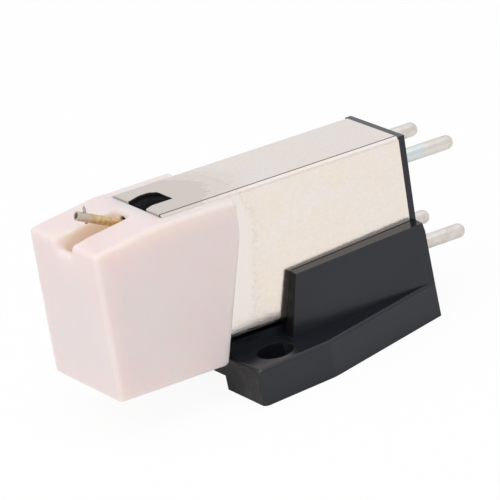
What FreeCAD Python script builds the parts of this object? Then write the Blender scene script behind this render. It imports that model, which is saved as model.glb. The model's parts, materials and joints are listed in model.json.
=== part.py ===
"""Half-inch-mount moving-magnet phono cartridge with its pull-off stylus.

World frame: the origin is midway between the two mounting holes, on the mounting face. +X runs to the
terminal pins, the stylus points to -X, and +Z leads away from the mounting face. Sizes are in millimetres.
The can and all that it holds share a can frame, tipped about Y so that the stylus end stands higher. Its
origin is over the hole line, in the plane of the can's stylus side, and depths are measured down from there.
"""
import FreeCAD, Part
import math
import os
import re

import Sketcher

SIZES = {
    # mounting base
    "hole_spacing": 12.7,
    "hole_diameter": 3.0,
    "ear_rim": 0.8,
    "base_front": 3.08,
    "can_overhang": 0.32,
    "taper_start": 3.68,
    "rear_width": 11.74,
    "flange_height": 3.1,
    "flange_corner": 0.45,
    "flange_bend": 3.0,
    "flange_round": 0.35,
    "channel_width": 5.8,
    "channel_height": 1.23,
    "deck_width": 7.55,
    "deck_gap": 0.27,
    "cheek_height": 8.05,
    "cheek_foot": 2.46,
    "cheek_lean": 1.53,
    "cheek_front_width": 10.34,
    "cheek_top_front": 9.76,
    "cheek_top_rear": 10.3,
    "cheek_top_slope": 5.8,
    "cheek_rear_lean": 0.45,
    "cheek_corner_run": 0.15,
    "cheek_corner_drop": 0.8,
    # shield can
    "can_tilt": 3.4,
    "can_top": 16.22,
    "can_width": 8.05,
    "can_height": 11.9,
    "can_front": 6.15,
    "can_rear": 16.12,
    "sheet": 0.3,
    "bend_radius": 0.4,
    "seam_width": 0.07,
    "arch_depth": 2.7,
    "arch_near": 1.1,
    "arch_near_mouth": 1.65,
    "arch_flare": 0.75,
    "arch_flare_round": 0.6,
    "arch_far": 1.92,
    "arch_far_mouth": 1.25,
    "arch_swell": 1.3,
    "arch_swell_round": 1.2,
    "arch_corner": 0.12,
    "arch_far_corner": 0.75,
    # terminal plate and pins
    "plate_thickness": 0.58,
    "spigot_length": 1.6,
    "pin_diameter": 1.2,
    "stem_diameter": 0.8,
    "pin_reach": 5.2,
    "pin_tail": 1.0,
    "pin_spread": 5.3,
    "pin_upper_depth": 2.3,
    "pin_lower_rise": 1.9,
    # coil housing
    "housing_recess": 0.3,
    "housing_length": 4.7,
    "bay_width": 2.1,
    "bay_top": 0.72,
    "bay_bottom": 4.9,
    "bay_back_wall": 0.6,
    "core_out_width": 5.6,
    "core_out_top": 6.0,
    "core_out_bottom": 10.2,
    "core_out_depth": 3.4,
    # pole pieces, bobbins, coils and yokes
    "pole_thickness": 0.7,
    "pole_height": 0.9,
    "pole_spread": 2.8,
    "pole_tip": 5.0,
    "pole_bend_run": 2.0,
    "pole_bend_gap": 0.23,
    "tip_upper_depth": 1.85,
    "tip_lower_depth": 3.65,
    "limb_upper_depth": 3.1,
    "limb_lower_depth": 6.3,
    "bobbin_start": 1.4,
    "bobbin_length": 7.0,
    "bobbin_flange": 2.7,
    "bobbin_core": 1.6,
    "bobbin_rim": 0.4,
    "coil_diameter": 2.5,
    "limb_tail": 0.8,
    "yoke_thickness": 0.6,
    "yoke_gap": 0.5,
    # stylus suspension
    "pivot_forward": 4.85,
    "pivot_depth": 2.46,
    "rake": 25.6,
    "tube_diameter": 0.74,
    "tube_bore": 0.5,
    "tube_reach": 7.46,
    "tube_tail": 0.5,
    "sleeve_diameter": 1.7,
    "sleeve_bore": 1.3,
    "sleeve_reach": 2.2,
    "sleeve_tail": 2.9,
    "plug_thickness": 0.6,
    "plug_bore": 0.64,
    "damper_length": 0.9,
    "damper_gap": 0.04,
    "damper_slack": 0.06,
    "magnet_diameter": 0.9,
    "magnet_length": 1.5,
    "magnet_spigot": 0.8,
    "wire_diameter": 0.12,
    "shank_diameter": 0.26,
    "shank_setback": 0.88,
    "shank_rise": 1.0,
    "shank_foot": 0.52,
    "point_length": 0.3,
    "point_width": 0.04,
    # stylus cap
    "cap_front": 13.28,
    "cap_front_lean": 0.25,
    "cap_lip_depth": 0.92,
    "cap_break": 7.4,
    "cap_top_depth": 0.14,
    "cap_rear_setback": 0.17,
    "cap_rear_bend": 3.0,
    "cap_rear_lean": 2.82,
    "cap_wall": 1.34,
    "cap_floor": 1.4,
    "cap_round": 0.42,
    "cap_break_round": 1.5,
    "cap_bend_round": 4.0,
    "cap_foot_round": 0.45,
    "cap_rim_round": 0.25,
    "cap_front_wall": 1.1,
    "slot_width": 2.45,
    "slot_setback": 0.15,
    "slot_depth": 3.2,
    "slot_corner": 0.4,
    "slot_rim": 0.35,
    "mouth_depth": 1.95,
    "mouth_wall": 0.9,
    "mouth_lip": 0.3,
    "cantilever_hole": 1.1,
    # fits
    "slide_gap": 0.05,
    "seat_gap": 0.02,
}

doc = FreeCAD.newDocument("cartridge")
sheet = doc.addObject("Spreadsheet::Sheet", "Sizes")
for row, (name, value) in enumerate(SIZES.items(), 1):
    sheet.set(f"A{row}", name)
    sheet.set(f"B{row}", str(value))
    sheet.setAlias(f"B{row}", name)
doc.recompute()

SUB_PARTS = []
X_AXIS = FreeCAD.Vector(1, 0, 0)
Y_AXIS = FreeCAD.Vector(0, 1, 0)


def bound(text):
    """Write an expression with the sheet's name before each of its sizes."""
    return re.sub(r"[a-z]\w*", lambda word: f"Sizes.{word[0]}" if word[0] in SIZES else word[0], str(text))


def value_of(text):
    return float(sheet.evalExpression(bound(text)))


def new_body(label, x="0", y="0", z="0", turn="0"):
    """Start a sub-part whose own frame stands at x, y, z of the world, turned about Y."""
    body = doc.addObject("PartDesign::Body", label)
    body.Label = label
    place = FreeCAD.Vector(value_of(x), value_of(y), value_of(z))
    body.Placement = FreeCAD.Placement(place, FreeCAD.Rotation(Y_AXIS, value_of(turn)))
    for axis, text in zip("xyz", (x, y, z)):
        body.setExpression(f"Placement.Base.{axis}", bound(text))
    if turn != "0":
        body.setExpression("Placement.Rotation.Angle", bound(turn))
    SUB_PARTS.append(body)
    return body


def can_body(label, x="0", y="0", z="0", rake="0"):
    """Start a sub-part at x, y, z of the can frame, raked about Y against it."""
    return new_body(
        label,
        x=f"cos(can_tilt) * ({x}) + sin(can_tilt) * ({z})",
        y=y,
        z=f"can_top - sin(can_tilt) * ({x}) + cos(can_tilt) * ({z})",
        turn=f"can_tilt + {rake}",
    )


def new_sketch(body, plane, offset="0", along="0", shift="0", turn=None):
    """Start a sketch on an origin plane, raised by offset, moved in the plane by along and shift, and turned.

    A turn is an axis of the plane and an angle.
    """
    sketch = body.newObject("Sketcher::SketchObject", f"{body.Label}_sketch")
    role = f"{plane}_Plane"
    support = next(item for item in body.Origin.OriginFeatures if item.Role == role)
    sketch.AttachmentSupport = [(support, "")]
    sketch.MapMode = "FlatFace"
    axis, angle = turn or (Y_AXIS, "0")
    base = FreeCAD.Vector(value_of(along), value_of(shift), value_of(offset))
    sketch.AttachmentOffset = FreeCAD.Placement(base, FreeCAD.Rotation(axis, value_of(angle)))
    for place, text in zip("xyz", (along, shift, offset)):
        sketch.setExpression(f"AttachmentOffset.Base.{place}", bound(text))
    if turn:
        sketch.setExpression("AttachmentOffset.Rotation.Angle", bound(angle))
    return sketch


def drive(sketch, kind, *where, text):
    """Add one dimension to a sketch and bind it to the sheet."""
    number = sketch.addConstraint(Sketcher.Constraint(kind, *where, value_of(text)))
    sketch.setExpression(f"Constraints[{number}]", bound(text))


def pin_point(sketch, line, end, x, y):
    """Hold a point of the sketch at x, y."""
    for kind, axis, text in (("DistanceX", -2, x), ("DistanceY", -1, y)):
        if text == "0":
            sketch.addConstraint(Sketcher.Constraint("PointOnObject", line, end, axis))
        else:
            drive(sketch, kind, -1, 1, line, end, text=text)


def quarter_round(start, end):
    """Arc from a point on the X axis to the point over its centre."""
    centre = FreeCAD.Vector(end.x, start.y, 0)
    whole = Part.Circle(centre, FreeCAD.Vector(0, 0, 1), end.y - start.y)
    return Part.ArcOfCircle(whole, 0, math.pi / 2)


def polygon(sketch, corners, dome=None):
    """Draw a closed outline through corners given as pairs of expressions, the side called dome as an arc."""
    first = sketch.GeometryCount
    points = [FreeCAD.Vector(value_of(x), value_of(y), 0) for x, y in corners]
    for side, (start, end) in enumerate(zip(points, points[1:] + points[:1])):
        line = quarter_round(start, end) if side == dome else Part.LineSegment(start, end)
        sketch.addGeometry(line, False)
    if dome is not None:
        sketch.addConstraint(Sketcher.Constraint("PointOnObject", first + dome, 3, -1))
    count = len(corners)
    for side in range(count):
        following = first + (side + 1) % count
        sketch.addConstraint(Sketcher.Constraint("Coincident", first + side, 2, following, 1))
    for side, (x, y) in enumerate(corners):
        pin_point(sketch, first + side, 1, x, y)
    return sketch


def rectangle(sketch, x_low, x_high, y_low, y_high):
    return polygon(sketch, [(x_low, y_low), (x_high, y_low), (x_high, y_high), (x_low, y_high)])


def circle(sketch, diameter, x="0", y="0"):
    centre = FreeCAD.Vector(value_of(x), value_of(y), 0)
    line = sketch.addGeometry(Part.Circle(centre, FreeCAD.Vector(0, 0, 1), value_of(diameter) / 2), False)
    drive(sketch, "Diameter", line, text=diameter)
    pin_point(sketch, line, 3, x, y)
    return sketch


def add_feature(body, kind, sketch):
    feature = body.newObject(f"PartDesign::{kind}", f"{body.Label}_{kind.lower()}")
    feature.Profile = sketch
    sketch.Visibility = False
    return feature


def pad(body, sketch, length, symmetric=False, reverse=False):
    feature = add_feature(body, "Pad", sketch)
    feature.setExpression("Length", bound(length))
    feature.SideType = "Symmetric" if symmetric else "One side"
    feature.Reversed = reverse
    doc.recompute()
    return feature


def loft(body, start, end):
    """Join two outlines by straight lines."""
    feature = add_feature(body, "AdditiveLoft", start)
    feature.Sections = [end]
    feature.Ruled = True
    end.Visibility = False
    doc.recompute()
    return feature


def pocket(body, sketch, length=None, symmetric=False, reverse=False):
    """Cut a sketch into the body, right through where no length is given, and see that it cuts."""
    before = body.Shape.Volume
    feature = add_feature(body, "Pocket", sketch)
    if length is None:
        feature.Type = "ThroughAll"
    else:
        feature.setExpression("Length", bound(length))
    feature.SideType = "Symmetric" if symmetric else "One side"
    feature.Reversed = reverse
    doc.recompute()
    if not feature.Shape.Volume < before:
        raise RuntimeError(f"a cut in {body.Label} removes nothing")
    return feature


def revolve(body, corners, axis="H_Axis", dome=None):
    """Turn an outline in the body's XZ plane about the plane's own X or Z axis."""
    sketch = polygon(new_sketch(body, "XZ"), corners, dome)
    feature = add_feature(body, "Revolution", sketch)
    feature.ReferenceAxis = (sketch, [axis])
    feature.Angle = 360.0
    doc.recompute()
    return feature


def round_edges(body, radius, chosen):
    """Round the edges of the body's last feature for which chosen is true."""
    base = body.Tip
    names = [f"Edge{number}" for number, edge in enumerate(base.Shape.Edges, 1) if chosen(edge)]
    feature = body.newObject("PartDesign::Fillet", f"{body.Label}_round")
    feature.Base = (base, names)
    feature.setExpression("Radius", bound(radius))
    doc.recompute()
    return feature


def runs_along(edge, axis):
    """Say whether an edge is straight along one axis of its body: 0, 1 or 2 for X, Y or Z."""
    box = edge.BoundBox
    spans = [box.XLength, box.YLength, box.ZLength]
    return spans[axis] > 1e-4 and sum(spans) - spans[axis] < 1e-4


def upright_at(x, y):
    """Pick the straight upright edge at x, y of its body."""
    place = FreeCAD.Vector(value_of(x), value_of(y), 0)

    def stands_there(edge):
        foot = FreeCAD.Vector(edge.CenterOfMass.x, edge.CenterOfMass.y, 0)
        return runs_along(edge, 2) and foot.distanceToPoint(place) < 1e-3

    return stands_there


def mount_base():
    """Moulded base: tapered flange with two ears, centre deck, and two cheeks that hold the can."""
    body = new_body("mount_base")
    ear = "((hole_spacing + hole_diameter) / 2 + ear_rim)"
    rear = "(can_rear - can_overhang)"
    plan = new_sketch(body, "XY")
    polygon(plan, [
        ("-base_front", f"-{ear}"),
        ("taper_start", f"-{ear}"),
        (rear, "-rear_width / 2"),
        (rear, "rear_width / 2"),
        ("taper_start", ear),
        ("-base_front", ear),
    ])
    pad(body, plan, "flange_height")
    for side in (ear, f"-{ear}"):
        round_edges(body, "flange_corner", upright_at("-base_front", side))
        round_edges(body, "flange_bend", upright_at("taper_start", side))
    flange_top = value_of("flange_height")
    back = value_of(rear)

    def rims_flange(edge):
        """Pick the top rim of the flange, all but its back."""
        return edge.BoundBox.ZMin > flange_top - 1e-3 and edge.CenterOfMass.x < back - 1e-3

    round_edges(body, "flange_round", rims_flange)
    seat = "can_top - (can_height + seat_gap) / cos(can_tilt)"
    deck = new_sketch(body, "XZ")
    polygon(deck, [
        ("-base_front", "channel_height"),
        ("cheek_foot + cheek_lean", "channel_height"),
        ("cheek_foot + cheek_lean", f"{seat} - deck_gap - (cheek_foot + cheek_lean) * tan(can_tilt)"),
        ("-base_front", f"{seat} - deck_gap + base_front * tan(can_tilt)"),
    ])
    pad(body, deck, "deck_width", symmetric=True)

    rear_top = f"({rear} + cheek_rear_lean)"
    foot = new_sketch(body, "XY", offset="flange_height - flange_round")
    polygon(foot, [
        ("cheek_foot", "-cheek_front_width / 2"),
        (rear, "-rear_width / 2"),
        (rear, "rear_width / 2"),
        ("cheek_foot", "cheek_front_width / 2"),
    ])
    head = new_sketch(body, "XY", offset="cheek_height")
    polygon(head, [
        ("cheek_foot", "-cheek_top_front / 2"),
        (rear_top, "-cheek_top_rear / 2"),
        (rear_top, "cheek_top_rear / 2"),
        ("cheek_foot", "cheek_top_front / 2"),
    ])
    loft(body, foot, head)
    ends = new_sketch(body, "XZ")
    corner_foot = "cheek_height - cheek_corner_drop"
    lean_back = "cheek_corner_drop * cheek_rear_lean / (cheek_height - flange_height)"
    polygon(ends, [
        ("cheek_foot", "flange_height"),
        ("cheek_foot + cheek_lean", "cheek_height"),
        (f"{rear_top} - cheek_corner_run", "cheek_height"),
        (f"{rear_top} - {lean_back}", corner_foot),
        (rear_top, corner_foot),
        (rear_top, "can_top"),
        ("cheek_foot", "can_top"),
    ])
    pocket(body, ends, symmetric=True)
    slopes = new_sketch(body, "YZ")
    slope_drop = "(rear_width - can_width) / 2 * tan(cheek_top_slope)"
    for side in ("-", ""):
        polygon(slopes, [
            (f"{side}can_width / 2", "cheek_height"),
            (f"{side}rear_width / 2", f"cheek_height - {slope_drop}"),
            (f"{side}rear_width / 2", "cheek_height"),
        ])
    pocket(body, slopes, symmetric=True)

    trough = new_sketch(body, "XZ")
    polygon(trough, [
        ("-base_front - can_front", f"{seat} + (base_front + can_front) * tan(can_tilt)"),
        ("base_front + can_rear", f"{seat} - (base_front + can_rear) * tan(can_tilt)"),
        ("base_front + can_rear", "can_top"),
        ("-base_front - can_front", "can_top"),
    ])
    pocket(body, trough, "can_width + 2 * seat_gap", symmetric=True)
    channel = new_sketch(body, "YZ")
    rectangle(channel, "-channel_width / 2", "channel_width / 2", "0", "channel_height")
    pocket(body, channel, symmetric=True)
    holes = new_sketch(body, "XY")
    for side in ("-", ""):
        circle(holes, "hole_diameter", y=f"{side}hole_spacing / 2")
    pocket(body, holes, "flange_height", reverse=True)


def shield_can():
    """Folded sheet can, open at both ends, with a butted seam on one long edge and an arch in front."""
    body = can_body("shield_can")
    half = "can_width / 2"
    section = new_sketch(body, "YZ", offset="-can_front")
    rectangle(section, f"-{half}", half, "-can_height", "0")
    pad(body, section, "can_front + can_rear")
    round_edges(body, "bend_radius", lambda edge: runs_along(edge, 0))
    hollow = new_sketch(body, "YZ", offset="-can_front")
    rectangle(hollow, f"-{half} + sheet", f"{half} - sheet", "sheet - can_height", "-sheet")
    pocket(body, hollow, "can_front + can_rear", reverse=True)

    arch = new_sketch(body, "XY")
    mouth = "-can_front - sheet"
    back = "arch_depth - can_front"
    flare = ("arch_flare - can_front", "-arch_near")
    swell = ("arch_swell - can_front", "arch_far")
    near_corner = (back, "-arch_near")
    far_corner = (back, "arch_far")
    near_mouth = (mouth, "-arch_near_mouth")
    far_mouth = (mouth, "arch_far_mouth")
    polygon(arch, [near_mouth, flare, near_corner, far_corner, swell, far_mouth])
    pocket(body, arch, "sheet + bend_radius")
    round_edges(body, "arch_flare_round", upright_at(*flare))
    round_edges(body, "arch_corner", upright_at(*near_corner))
    round_edges(body, "arch_far_corner", upright_at(*far_corner))
    round_edges(body, "arch_swell_round", upright_at(*swell))
    seam = new_sketch(body, "XY")
    edge = f"bend_radius - {half}"
    rectangle(seam, "-can_front - sheet", "can_rear + sheet", edge, f"{edge} + seam_width")
    pocket(body, seam, "sheet")


PIN_ROWS = {"upper": "pin_upper_depth", "lower": "(can_height - pin_lower_rise)"}
SIDES = {"left": "-", "right": ""}


def terminal_plate():
    """Rear plate flush with the can, with a spigot inside it and four holes for the pins."""
    body = can_body("terminal_plate")
    plate = new_sketch(body, "YZ", offset="can_rear")
    rectangle(plate, "-can_width / 2", "can_width / 2", "-can_height", "0")
    pad(body, plate, "plate_thickness")
    spigot = new_sketch(body, "YZ", offset="can_rear")
    inner = "can_width / 2 - sheet - seat_gap"
    rectangle(spigot, f"-({inner})", inner, "sheet + seat_gap - can_height", "-sheet - seat_gap")
    pad(body, spigot, "spigot_length", reverse=True)
    holes = new_sketch(body, "YZ", offset="can_rear")
    for depth in PIN_ROWS.values():
        for side in SIDES.values():
            circle(holes, "stem_diameter", f"{side}pin_spread / 2", f"-{depth}")
    pocket(body, holes, symmetric=True)


def terminal_pin(side, row):
    """Turned pin with a domed end, its thinner stem pressed through the terminal plate to the shoulder."""
    body = can_body(f"pin_{side}_{row}", y=f"{SIDES[side]}pin_spread / 2", z=f"-{PIN_ROWS[row]}")
    tail = "can_rear - spigot_length - pin_tail"
    face = "can_rear + plate_thickness"
    tip = f"{face} + pin_reach"
    revolve(body, [
        (tail, "0"),
        (tip, "0"),
        (f"{tip} - pin_diameter / 2", "pin_diameter / 2"),
        (face, "pin_diameter / 2"),
        (face, "stem_diameter / 2"),
        (tail, "stem_diameter / 2"),
    ], dome=1)


def coil_housing():
    """Moulded block in the front of the can: an open bay for the stylus sleeve and slots for the poles."""
    body = can_body("coil_housing")
    front = "housing_recess - can_front"
    rear = f"{front} + housing_length"
    side = "can_width / 2 - sheet - seat_gap"
    block = new_sketch(body, "YZ", offset=front)
    rectangle(block, f"-({side})", side, "sheet + seat_gap - can_height", "-sheet - seat_gap")
    pad(body, block, "housing_length")
    round_edges(body, "bend_radius", lambda edge: runs_along(edge, 0))
    bay = new_sketch(body, "YZ", offset=front)
    rectangle(bay, "-bay_width / 2", "bay_width / 2", "-bay_bottom", "-bay_top")
    pocket(body, bay, "housing_length - bay_back_wall", reverse=True)

    slots = new_sketch(body, "YZ", offset=rear)
    inner = "(pole_spread - pole_thickness) / 2 - seat_gap"
    outer = "(pole_spread + pole_thickness) / 2 + seat_gap"
    half = "(pole_height / 2 + seat_gap)"
    for depth in ("tip_upper_depth", "tip_lower_depth"):
        rectangle(slots, inner, outer, f"-{depth} - {half}", f"-{depth} + {half}")
        rectangle(slots, f"-({outer})", f"-({inner})", f"-{depth} - {half}", f"-{depth} + {half}")
    pocket(body, slots, f"{rear} + pole_tip + seat_gap")
    core_out = new_sketch(body, "YZ", offset=rear)
    rectangle(core_out, "-core_out_width / 2", "core_out_width / 2", "-core_out_bottom", "-core_out_top")
    pocket(body, core_out, "core_out_depth")


BOBBIN_END = "bobbin_start + bobbin_length"
POLE_ENDS = {
    ("left", "upper"): f"{BOBBIN_END} + limb_tail",
    ("right", "lower"): f"{BOBBIN_END} + limb_tail",
    ("right", "upper"): f"{BOBBIN_END} + limb_tail + yoke_thickness + yoke_gap",
    ("left", "lower"): f"{BOBBIN_END} + limb_tail + yoke_thickness + yoke_gap",
}


def pole_piece(side, row):
    """Cranked strip: a finger beside the magnet, and a straight limb through its coil."""
    body = can_body(f"pole_{side}_{row}", y=f"{SIDES[side]}pole_spread / 2")
    tip = f"-tip_{row}_depth"
    limb = f"-limb_{row}_depth"
    half = "pole_height / 2"
    bend_end = "bobbin_start - pole_bend_gap"
    bend_start = f"{bend_end} - pole_bend_run"
    profile = new_sketch(body, "XZ")
    polygon(profile, [
        ("-pole_tip", f"{tip} + {half}"),
        (bend_start, f"{tip} + {half}"),
        (bend_end, f"{limb} + {half}"),
        (POLE_ENDS[side, row], f"{limb} + {half}"),
        (POLE_ENDS[side, row], f"{limb} - {half}"),
        (bend_end, f"{limb} - {half}"),
        (bend_start, f"{tip} - {half}"),
        ("-pole_tip", f"{tip} - {half}"),
    ])
    pad(body, profile, "pole_thickness", symmetric=True)


def bobbin_and_coil(side, row):
    """Moulded spool with two rims and a square hole for the limb, and the winding between its rims."""
    place = {"y": f"{SIDES[side]}pole_spread / 2", "z": f"-limb_{row}_depth"}
    body = can_body(f"bobbin_{side}_{row}", **place)
    revolve(body, [
        ("bobbin_start", "0"),
        (BOBBIN_END, "0"),
        (BOBBIN_END, "bobbin_flange / 2"),
        (f"{BOBBIN_END} - bobbin_rim", "bobbin_flange / 2"),
        (f"{BOBBIN_END} - bobbin_rim", "bobbin_core / 2"),
        ("bobbin_start + bobbin_rim", "bobbin_core / 2"),
        ("bobbin_start + bobbin_rim", "bobbin_flange / 2"),
        ("bobbin_start", "bobbin_flange / 2"),
    ])
    hole = new_sketch(body, "YZ")
    half_width = "pole_thickness / 2 + seat_gap"
    half_height = "pole_height / 2 + seat_gap"
    rectangle(hole, f"-({half_width})", half_width, f"-({half_height})", half_height)
    pocket(body, hole, symmetric=True)

    winding = can_body(f"coil_{side}_{row}", **place)
    start = "bobbin_start + bobbin_rim + seat_gap"
    end = f"{BOBBIN_END} - bobbin_rim - seat_gap"
    inner = "bobbin_core / 2 + seat_gap"
    revolve(winding, [(start, inner), (end, inner), (end, "coil_diameter / 2"), (start, "coil_diameter / 2")])


def yoke(channel, upper_side):
    """Flat strip that joins the back ends of one channel's two diagonal pole pieces."""
    body = can_body(f"yoke_{channel}")
    near = SIDES[upper_side]
    far = SIDES["left" if upper_side == "right" else "right"]
    centre = "pole_spread / 2"
    half = "pole_thickness / 2"
    out = f"({centre} + {half})"
    within = f"({centre} - {half})"
    upper = "-limb_upper_depth"
    lower = "-limb_lower_depth"
    rise = "pole_height / 2"
    strip = new_sketch(body, "YZ", offset=POLE_ENDS[upper_side, "upper"])
    polygon(strip, [
        (f"{near}{out}", f"{upper} + {rise}"),
        (f"{near}{within}", f"{upper} + {rise}"),
        (f"{far}{out}", f"{lower} + {rise}"),
        (f"{far}{out}", f"{lower} - {rise}"),
        (f"{far}{within}", f"{lower} - {rise}"),
        (f"{near}{out}", f"{upper} - {rise}"),
    ])
    pad(body, strip, "yoke_thickness")


def stylus_cap():
    """Moulded cup over the front of the can: floor, two side walls and a block with the cantilever slot."""
    body = can_body("stylus_cap")
    half = "(can_width / 2 + slide_gap + cap_wall)"
    floor = "(can_height + slide_gap)"
    bottom = f"({floor} + cap_floor)"
    rear_foot = "-cap_rear_setback - cap_rear_lean"
    profile = new_sketch(body, "XZ")
    polygon(profile, [
        ("-cap_front", "-cap_lip_depth"),
        ("-cap_break", "-cap_top_depth"),
        ("-cap_rear_setback", "-cap_top_depth"),
        ("-cap_rear_setback", "-cap_rear_bend"),
        (rear_foot, f"-{bottom}"),
        ("cap_front_lean - cap_front", f"-{bottom}"),
    ])
    pad(body, profile, f"2 * {half}", symmetric=True)

    def corner_of(x, z):
        """Pick the edge that crosses the profile at x, z."""
        corner = FreeCAD.Vector(value_of(x), 0, value_of(z))
        return lambda edge: edge.CenterOfMass.distanceToPoint(corner) < 1e-3

    round_edges(body, "cap_break_round", corner_of("-cap_break", "-cap_top_depth"))
    round_edges(body, "cap_bend_round", corner_of("-cap_rear_setback", "-cap_rear_bend"))
    round_edges(body, "cap_foot_round", corner_of(rear_foot, f"-{bottom}"))
    front_face = value_of("cap_front_lean - cap_front")
    lip = value_of("-cap_lip_depth")
    rear_top = value_of("-cap_rear_setback")
    underside = value_of(f"-{bottom}")

    def frames_front_or_top(edge):
        """Pick the edges round the front face and along the top, but none at the back or underneath."""
        middle = edge.CenterOfMass
        at_front = middle.x < front_face + 1e-3 and middle.z > underside + 1e-3
        along_top = middle.z > lip - 1e-3 and middle.x < rear_top - 1e-3
        return at_front or along_top and not runs_along(edge, 1)

    def rims_rear_or_foot(edge):
        """Pick the cross edges of the rim that runs up the back and underneath."""
        middle = edge.CenterOfMass
        return runs_along(edge, 1) and (middle.x > rear_top - 1e-3 or middle.z < underside + 1e-3)

    round_edges(body, "cap_round", frames_front_or_top)
    round_edges(body, "cap_rim_round", rims_rear_or_foot)

    cup = new_sketch(body, "YZ", offset="-can_front - slide_gap")
    rectangle(cup, "-can_width / 2 - slide_gap", "can_width / 2 + slide_gap", f"-{floor}", "can_height")
    pocket(body, cup, reverse=True)
    core_out = new_sketch(body, "YZ", offset="-can_front - slide_gap")
    inner = f"{half} - cap_front_wall"
    rectangle(core_out, f"-({inner})", inner, f"cap_floor - {bottom}", "-slot_depth - cap_front_wall")
    pocket(body, core_out, "cap_front - cap_front_wall - can_front - slide_gap - cap_front_lean")

    slot = new_sketch(body, "XY")
    slot_half = "slot_width / 2"
    slot_rear = "-cap_break - slot_setback"
    rectangle(slot, "mouth_wall - cap_front", slot_rear, f"-{slot_half}", slot_half)
    pocket(body, slot, "slot_depth")
    for corner in (upright_at(slot_rear, f"-{slot_half}"), upright_at(slot_rear, slot_half)):
        round_edges(body, "slot_corner", corner)
    mouth = new_sketch(body, "XY")
    rectangle(mouth, "-cap_front - mouth_wall", "-cap_break - slot_width", f"-{slot_half}", slot_half)
    pocket(body, mouth, "mouth_depth")
    slot_side = value_of(slot_half)
    slot_front = value_of("mouth_wall - cap_front")
    mouth_floor = value_of("-mouth_depth")

    def rims_slot(edge):
        """Pick the rims of the slot's two sides, over the front and down the mouth."""
        middle = edge.CenterOfMass
        lies_in_side = edge.BoundBox.YLength < 1e-4 and abs(abs(middle.y) - slot_side) < 1e-3
        is_inner_corner = runs_along(edge, 2) and middle.x > slot_front - 1e-3
        return lies_in_side and middle.z > mouth_floor + 1e-3 and not is_inner_corner

    round_edges(body, "slot_rim", rims_slot)

    def fronts_mouth(edge):
        """Pick the front edge of the mouth's floor."""
        middle = edge.CenterOfMass
        return runs_along(edge, 1) and abs(middle.z - mouth_floor) < 1e-3 and middle.x < slot_front - 1e-3

    round_edges(body, "mouth_lip", fronts_mouth)

    along_rake = (X_AXIS, "rake")
    passage = new_sketch(body, "YZ", offset="-pivot_forward", shift="-pivot_depth", turn=along_rake)
    circle(passage, "cantilever_hole")
    pocket(body, passage, "tube_reach")
    seat = new_sketch(body, "YZ", offset="-pivot_forward", shift="-pivot_depth", turn=along_rake)
    circle(seat, "sleeve_diameter + 2 * seat_gap")
    pocket(body, seat, "sleeve_reach")


def suspended_body(label):
    """Start a sub-part at the cantilever's pivot, with its X axis back along the cantilever."""
    return can_body(label, x="-pivot_forward", z="-pivot_depth", rake="rake")


def tube_section(label, start, end, bore, diameter):
    """Turned ring or tube about the cantilever's line."""
    body = suspended_body(label)
    revolve(body, [
        (start, f"({bore}) / 2"),
        (end, f"({bore}) / 2"),
        (end, f"({diameter}) / 2"),
        (start, f"({diameter}) / 2"),
    ])
    return body


def suspension():
    """Sleeve fixed in the cap, with its back plug, the damper ring, the tie wire and the magnet."""
    tube_section("stylus_sleeve", "-sleeve_reach", "sleeve_tail", "sleeve_bore", "sleeve_diameter")
    plug_start = "sleeve_tail - plug_thickness"
    tube_section("sleeve_plug", plug_start, "sleeve_tail", "plug_bore", "sleeve_bore - 2 * seat_gap")
    damper_bore = "tube_diameter + 2 * damper_slack"
    damper_size = "sleeve_bore - 2 * damper_gap"
    tube_section("damper_ring", "-damper_length / 2", "damper_length / 2", damper_bore, damper_size)
    wire_start = "tube_tail + magnet_length"
    tube_section("tie_wire", wire_start, "sleeve_tail", "0", "wire_diameter")
    spigot = "tube_bore / 2 - seat_gap"
    revolve(suspended_body("magnet_rod"), [
        ("tube_tail - magnet_spigot", "0"),
        (wire_start, "0"),
        (wire_start, "magnet_diameter / 2"),
        ("tube_tail", "magnet_diameter / 2"),
        ("tube_tail", spigot),
        ("tube_tail - magnet_spigot", spigot),
    ])


def cantilever():
    """Aluminium tube, open in front, with a cross hole for the stylus shank, and the shank itself."""
    tube = tube_section("cantilever_tube", "-tube_reach", "tube_tail", "tube_bore", "tube_diameter")
    cross_hole = new_sketch(tube, "XY", along="shank_setback - tube_reach", turn=(Y_AXIS, "-rake"))
    circle(cross_hole, "shank_diameter + 2 * seat_gap")
    pocket(tube, cross_hole, symmetric=True)

    reach = "(tube_reach - shank_setback)"
    tip = can_body(
        "stylus_tip",
        x=f"-pivot_forward - {reach} * cos(rake)",
        z=f"{reach} * sin(rake) - pivot_depth",
    )
    revolve(tip, [
        ("0", "-shank_foot"),
        ("shank_diameter / 2", "-shank_foot"),
        ("shank_diameter / 2", "shank_rise - point_length"),
        ("point_width / 2", "shank_rise"),
        ("0", "shank_rise"),
    ], axis="V_Axis")


mount_base()
shield_can()
terminal_plate()
coil_housing()
for side in SIDES:
    for row in PIN_ROWS:
        terminal_pin(side, row)
        pole_piece(side, row)
        bobbin_and_coil(side, row)
yoke("left", "left")
yoke("right", "right")
stylus_cap()
suspension()
cantilever()
doc.recompute()

for item in doc.Objects:
    if {"Invalid", "Error"} & set(item.State):
        raise RuntimeError(f"{item.Label} failed: {item.State}")
for body in SUB_PARTS:
    if body.Shape.isNull() or not body.Shape.isValid() or len(body.Shape.Solids) != 1:
        raise RuntimeError(f"{body.Label} is not one valid solid")

os.makedirs("parts", exist_ok=True)
for body in SUB_PARTS:
    body.Shape.exportStep(f"parts/{body.Label}.step")
    print(f"{body.Label:20s} {body.Shape.Volume:9.3f} mm3")
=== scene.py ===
"""Phono cartridge with its pull-off stylus, lying on its mounting face with the stylus up."""
import json
import math

import bmesh
import bpy
from mathutils import Matrix, Vector


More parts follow.
